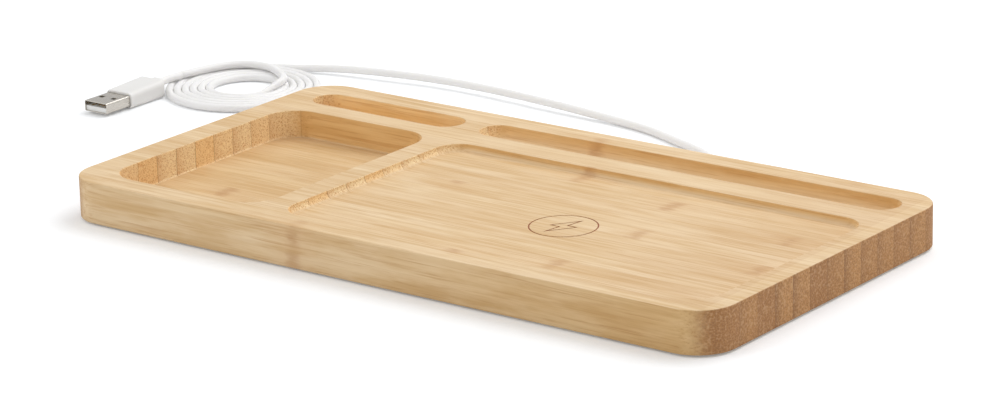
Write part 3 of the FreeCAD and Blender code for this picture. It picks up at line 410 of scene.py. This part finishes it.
MATERIALS = {
    "bamboo": bamboo(),
    "cover_plastic": moulded("cover_plastic", srgb(52, 52, 54), 0.55, 0.03, 1500.0, 0.12),
    "screw_steel": brushed("screw_steel", srgb(190, 190, 194), 0.34),
    "silicone_rubber": moulded("silicone_rubber", srgb(70, 70, 72), 0.62, 0.02, 1800.0, 0.1),
    "copper_litz": litz(),
    "adhesive_tape": moulded("adhesive_tape", srgb(206, 150, 60), 0.3, 0.01, 900.0, 0.15),
    "ferrite": moulded("ferrite", srgb(54, 54, 57), 0.5, 0.03, 2400.0, 0.2),
    "carrier_plastic": moulded("carrier_plastic", srgb(36, 36, 38), 0.5, 0.02, 1600.0, 0.15),
    "circuit_laminate": circuit_laminate(),
    "chip_epoxy": moulded("chip_epoxy", srgb(30, 30, 32), 0.42, 0.012, 3200.0, 0.2),
    "capacitor_ceramic": moulded("capacitor_ceramic", srgb(186, 158, 122), 0.38, 0.012, 2800.0, 0.15),
    "resistor_black": moulded("resistor_black", srgb(26, 26, 30), 0.3, 0.01, 3000.0, 0.2),
    "nickel_shell": brushed("nickel_shell", srgb(212, 207, 199), 0.30, (900.0, 60.0, 900.0), 0.03, 0.0003),
    "port_plastic": moulded("port_plastic", srgb(32, 32, 34), 0.45, 0.01, 3000.0, 0.12),
    "gold_contacts": brushed("gold_contacts", srgb(226, 184, 104), 0.26, (3000.0, 300.0, 3000.0)),
    "white_overmould": moulded("white_overmould", srgb(232, 231, 229), 0.36, 0.006, 2600.0, 0.02, **SOFT),
    "white_jacket": moulded("white_jacket", srgb(240, 239, 238), 0.42, 0.006, 2000.0, 0.02, **SOFT),
    "wire_insulation": moulded("wire_insulation", srgb(176, 44, 38), 0.4, 0.01, 2500.0, 0.15),
    "white_insulator": moulded("white_insulator", srgb(238, 238, 236), 0.4, 0.01, 2400.0, 0.03),
}


def dress(thing, slot):
    """Gives an object the look of one of the record's material slots."""
    thing.data.materials.clear()
    thing.data.materials.append(MATERIALS[slot])


for part in frame["record"]["subparts"]:
    dress(frame["nodes"][part["node"]], part["material_slot"])


# ================================================================ the lead behind the USB-A plug
# The real lead bends when the plug lifts; here it is built once as a tube from the plug onto the cable, where both
# rest.
HINGE = Vector(next(joint["pos_m"] for joint in frame["joints"] if joint["name"] == "plug_lift"))
LEAD_LOW, LEAD_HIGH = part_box("plug_lead_jacket")
WIRES_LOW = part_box("plug_lead_wires")[0]
MOULD_LOW, MOULD_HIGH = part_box("usb_a_overmould")
CABLE_RADIUS = LEAD_HIGH.z - HINGE.z
PLUG_X = 0.5 * (MOULD_LOW.x + MOULD_HIGH.x)
EXIT_Z = LEAD_LOW.z + CABLE_RADIUS
CLIMB_LENGTH = 8.0 * MM
LEAVE_Y = MOULD_HIGH.y - 0.5 * MM  # where the lead starts to climb out of the plug's neck
SWING_START_Y = LEAVE_Y + 3.5 * MM
STRAND_START_Y = HINGE.y + CABLE_RADIUS + 0.1 * MM  # where the rest of the cable begins
SEAM_LAP = 0.06 * MM  # the lead's jacket reaches this far into the rest, so that no gap shows
TANGENT_STEP = 0.05 * MM  # the lead's direction is taken from points this far to either side
LEAD_WIRES = {
    "lead_power_wire_left": (-0.45, 0.0, 0.36),
    "lead_power_wire_right": (0.45, 0.0, 0.36),
    "lead_data_wire_low": (0.0, -0.6, 0.25),
    "lead_data_wire_high": (0.0, 0.6, 0.25),
}  # each wire's offset sideways and up from the lead's centre, and its radius, in millimetres


def smooth(share):
    """Eases from 0 to 1, held at the ends."""
    share = min(1.0, max(0.0, share))
    return share * share * (3.0 - 2.0 * share)


def strand_slope():
    """How far the cable's end on the winding leans towards +X for each metre along +Y."""
    mesh = frame["nodes"]["cable_jacket"].data
    start = Vector((HINGE.x, STRAND_START_Y, HINGE.z))
    faces = [face for face in mesh.polygons if (face.center - start).length < CABLE_RADIUS]
    ends = [face for face in faces if face.normal.y < -0.8]
    facing = sum((face.normal * face.area for face in ends), Vector())
    return facing.x / facing.y if ends else 0.0


STRAND_SLOPE = strand_slope()


def lead_point(y):
    """The lead's centre line: out of the plug, up and across onto the winding, and into the cable."""
    x = PLUG_X + (HINGE.x - PLUG_X) * smooth((y - SWING_START_Y) / (HINGE.y - SWING_START_Y))
    z = EXIT_Z + (HINGE.z - EXIT_Z) * smooth((y - LEAVE_Y) / CLIMB_LENGTH)
    past = max(0.0, (y - HINGE.y) / (STRAND_START_Y - HINGE.y))
    x += STRAND_SLOPE * (STRAND_START_Y - HINGE.y) * (past - 1.0) * past * past
    return Vector((x, y, z))


def lead_tube(name, start_y, end_y, radius, side=0.0, up=0.0, rings=64, sides=24):
    """A closed round bar along the lead, shifted sideways and up from its centre line."""
    vertices = []
    faces = []
    for ring in range(rings + 1):
        y = start_y + (end_y - start_y) * ring / rings
        way = (lead_point(y + TANGENT_STEP) - lead_point(y - TANGENT_STEP)).normalized()
        across = way.cross(Vector((0, 0, 1))).normalized()
        upward = across.cross(way)
        centre = lead_point(y) + across * side + upward * up
        for corner in range(sides):
            turn = 2.0 * math.pi * corner / sides
            vertices.append(centre + (across * math.cos(turn) + upward * math.sin(turn)) * radius)
    for ring in range(rings):
        for corner in range(sides):
            a = ring * sides + corner
            b = ring * sides + (corner + 1) % sides
            faces.append((a, b, b + sides, a + sides))
    faces.append(tuple(range(sides)))
    faces.append(tuple(rings * sides + corner for corner in reversed(range(sides))))
    mesh = bpy.data.meshes.new(name)
    mesh.from_pydata(vertices, [], faces)
    mesh.validate()
    mesh.update()
    thing = bpy.data.objects.new(name, mesh)
    bpy.context.scene.collection.objects.link(thing)
    for face in mesh.polygons:
        face.use_smooth = len(face.vertices) == 4
    return thing


def build_lead():
    """The jacket and its wires, bent between the plug and the cable."""
    jacket = lead_tube("lead_jacket", LEAD_LOW.y, STRAND_START_Y + SEAM_LAP, CABLE_RADIUS)
    dress(jacket, "white_jacket")
    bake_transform(jacket)
    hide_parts("plug_lead_jacket")
    for name, (side, up, radius) in LEAD_WIRES.items():
        wire = lead_tube(name, WIRES_LOW.y, STRAND_START_Y, radius * MM, side * MM, up * MM, sides=12)
        dress(wire, "wire_insulation")
        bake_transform(wire)
        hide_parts("plug_lead_wires")


build_lead()


# ================================================================ stage, light and camera
FLOOR_HALF = 6.0
FLOOR_GLOW = 0.18  # lifts the paper towards white where the camera sees it
FLOOR_BALANCE = (0.985, 1.005, 1.025)  # what the camera sees is balanced against the bamboo's warm glow
WORLD_LEFT = 0.63  # the strength of the light from all round, towards -X and towards +X
WORLD_RIGHT = 0.58


def studio_floor():
    """A wide pale sweep of paper, level with the underside of the feet."""
    mesh = bpy.data.meshes.new("floor")
    signs = [(-1, -1), (1, -1), (1, 1), (-1, 1)]
    corners = [(x * FLOOR_HALF, y * FLOOR_HALF, TABLE_Z) for x, y in signs]
    mesh.from_pydata(corners, [], [(0, 1, 2, 3)])
    floor = bpy.data.objects.new("floor", mesh)
    bpy.context.scene.collection.objects.link(floor)
    look = Look("floor_paper")
    fibre = look.noise(look.place(), 400.0, 3.0)
    base = look.mix(look.span(fibre, 0.3, 0.7), (0.87, 0.87, 0.87), (0.89, 0.89, 0.89))
    seen = look.node("ShaderNodeLightPath").outputs["Is Camera Ray"]
    base = look.tinted(seen, base, FLOOR_BALANCE)
    paper = look.finish(
        base_color=base,
        roughness=0.9,
        specular_ior_level=0.1,
        emission_color=(1.0, 1.0, 1.0),
        emission_strength=look.math("MULTIPLY", seen, FLOOR_GLOW),
    )
    floor.data.materials.append(paper)


def area_light(name, place, target, size, power):
    """A soft box at place, aimed at target."""
    data = bpy.data.lights.new(name, "AREA")
    data.shape = "RECTANGLE"
    data.size, data.size_y = size
    data.energy = power
    light = bpy.data.objects.new(name, data)
    light.location = place
    light.rotation_euler = (Vector(target) - Vector(place)).to_track_quat("-Z", "Y").to_euler()
    bpy.context.scene.collection.objects.link(light)


def studio_light():
    """Even light all round, a soft key light above and behind, and a weak fill from the front left."""
    world = bpy.data.worlds.new("studio")
    bpy.context.scene.world = world
    world.use_nodes = True
    tree = world.node_tree
    around = tree.nodes.new("ShaderNodeTexCoord")
    split = tree.nodes.new("ShaderNodeSeparateXYZ")
    fade = tree.nodes.new("ShaderNodeMapRange")
    tree.links.new(around.outputs["Generated"], split.inputs[0])
    tree.links.new(split.outputs["X"], fade.inputs["Value"])
    tree.links.new(fade.outputs[0], tree.nodes["Background"].inputs["Strength"])
    ends = {"From Min": -1.0, "From Max": 1.0, "To Min": WORLD_LEFT, "To Max": WORLD_RIGHT}
    for key, value in ends.items():
        fade.inputs[key].default_value = value
    tree.nodes["Background"].inputs["Color"].default_value = (1.0, 1.0, 1.0, 1.0)
    area_light("overhead", (0.25, 0.65, 1.05), (0.0, 0.0, 0.0), (1.3, 1.0), 10.0)
    area_light("front_left", (-0.75, -0.9, 0.8), (-0.1, 0.0, 0.0), (0.9, 0.7), 3.6)


CAMERA_AZIMUTH = math.radians(37.138)
CAMERA_ELEVATION = math.radians(17.4706)
CAMERA_ROLL = math.radians(-1.3217)
CAMERA_DISTANCE = 1433.158 * MM
CAMERA_SHIFT_X = -0.526 * MM
CAMERA_SHIFT_Y = -9.651 * MM
CAMERA_LENS = 140.52
SENSOR_WIDTH = 36.0


def studio_camera():
    """A long lens in front of the tray's right half, a little above it, looking at its middle."""
    flat = math.cos(CAMERA_ELEVATION)
    back = Vector(
        (math.sin(CAMERA_AZIMUTH) * flat, -math.cos(CAMERA_AZIMUTH) * flat, math.sin(CAMERA_ELEVATION))
    )
    right = (-back).cross(Vector((0, 0, 1))).normalized()
    up = back.cross(right)
    across = right * math.cos(CAMERA_ROLL) + up * math.sin(CAMERA_ROLL)
    upward = up * math.cos(CAMERA_ROLL) - right * math.sin(CAMERA_ROLL)
    data = bpy.data.cameras.new("camera")
    data.sensor_width = SENSOR_WIDTH
    data.lens = CAMERA_LENS
    data.clip_start = 0.05
    data.clip_end = 50.0
    camera = bpy.data.objects.new("camera", data)
    place = back * CAMERA_DISTANCE - across * CAMERA_SHIFT_X - upward * CAMERA_SHIFT_Y
    turn = Matrix((across, upward, back)).transposed()
    camera.matrix_world = Matrix.Translation(place) @ turn.to_4x4()
    bpy.context.scene.collection.objects.link(camera)
    bpy.context.scene.camera = camera


studio_floor()
studio_light()
studio_camera()
bpy.context.scene.view_settings.view_transform = "Standard"
bpy.context.scene.view_settings.look = "None"
